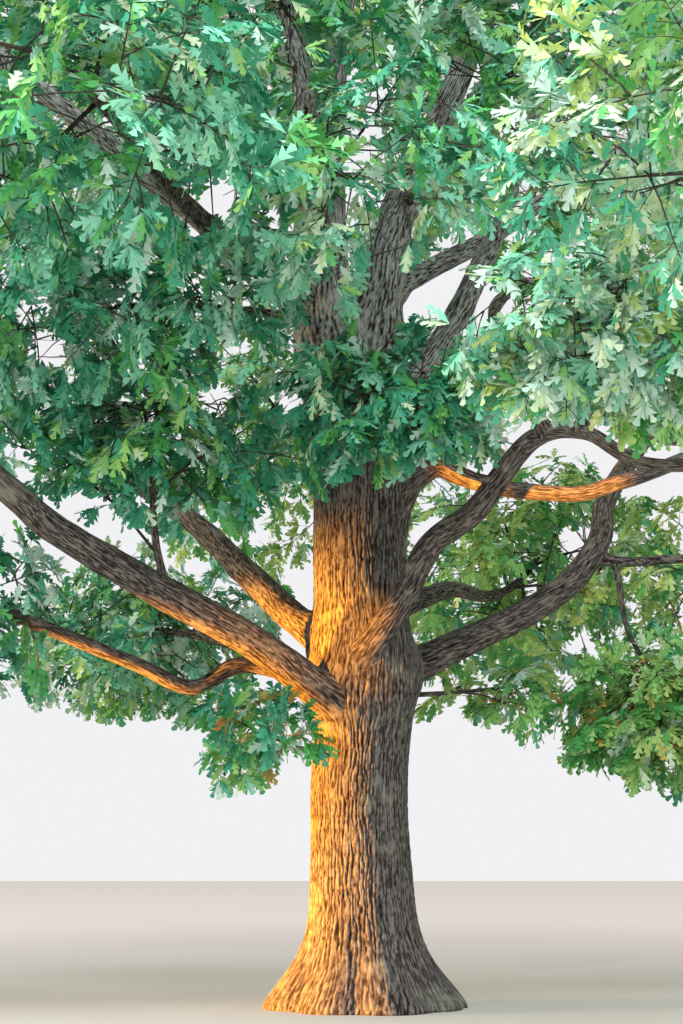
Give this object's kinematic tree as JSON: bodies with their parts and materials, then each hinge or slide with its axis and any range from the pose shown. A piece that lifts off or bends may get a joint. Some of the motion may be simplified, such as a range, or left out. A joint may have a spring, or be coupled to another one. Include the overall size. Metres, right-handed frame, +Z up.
{
  "type": "oak tree",
  "caption": "Broad open-grown white oak in full summer leaf: flared trunk forking into leaders, spreading boughs, and a wide rounded crown of leafy masses.",
  "frame": {"origin": "centre of the flat cut under the trunk, at ground level", "axes": "+Z up the trunk, +X to the right of the picture, -Y towards the viewer"},
  "size_m": [16.6306, 15.4465, 16.9809],
  "materials": {
    "bark": "furrowed grey-brown bark",
    "leaves": "satin green leaf"
  },
  "bodies": {
    "root": {"trunk": "bark", "bough_back": "bark", "bough_back_high": "bark", "bough_back_left_high": "bark", "bough_back_left_low": "bark", "bough_back_right": "bark", "bough_back_right_high": "bark", "bough_front_high": "bark", "bough_front_left": "bark", "bough_front_left_high": "bark", "bough_left_back": "bark", "bough_left_front": "bark", "bough_left_high": "bark", "bough_left_low": "bark", "bough_right_arch": "bark", "bough_right_front": "bark", "bough_right_grey": "bark", "bough_right_level": "bark", "bough_right_low": "bark", "bough_right_middle": "bark", "bough_right_steep": "bark", "branch_right_hanging": "bark", "branch_right_upright": "bark", "leader_left": "bark", "leader_right": "bark", "stem_left": "bark", "stem_middle": "bark", "foliage_back": "leaves", "foliage_back_high": "leaves", "foliage_back_left_high": "leaves", "foliage_back_left_low": "leaves", "foliage_back_right": "leaves", "foliage_back_right_high": "leaves", "foliage_front_high": "leaves", "foliage_front_left": "leaves", "foliage_front_left_high": "leaves", "foliage_front_right": "leaves", "foliage_leader_front": "leaves", "foliage_leader_high": "leaves", "foliage_leader_left": "leaves", "foliage_leader_right": "leaves", "foliage_left_back": "leaves", "foliage_left_front": "leaves", "foliage_left_high": "leaves", "foliage_left_low": "leaves", "foliage_left_riser": "leaves", "foliage_over_trunk": "leaves", "foliage_right_back": "leaves", "foliage_right_front": "leaves", "foliage_right_hanging": "leaves", "foliage_right_high": "leaves", "foliage_right_low": "leaves", "foliage_right_middle": "leaves", "foliage_right_steep": "leaves", "foliage_right_upright": "leaves", "foliage_top": "leaves", "foliage_top_left": "leaves", "foliage_top_right": "leaves", "foliage_trunk_left": "leaves", "foliage_trunk_right": "leaves"}
  },
  "joints": []
}
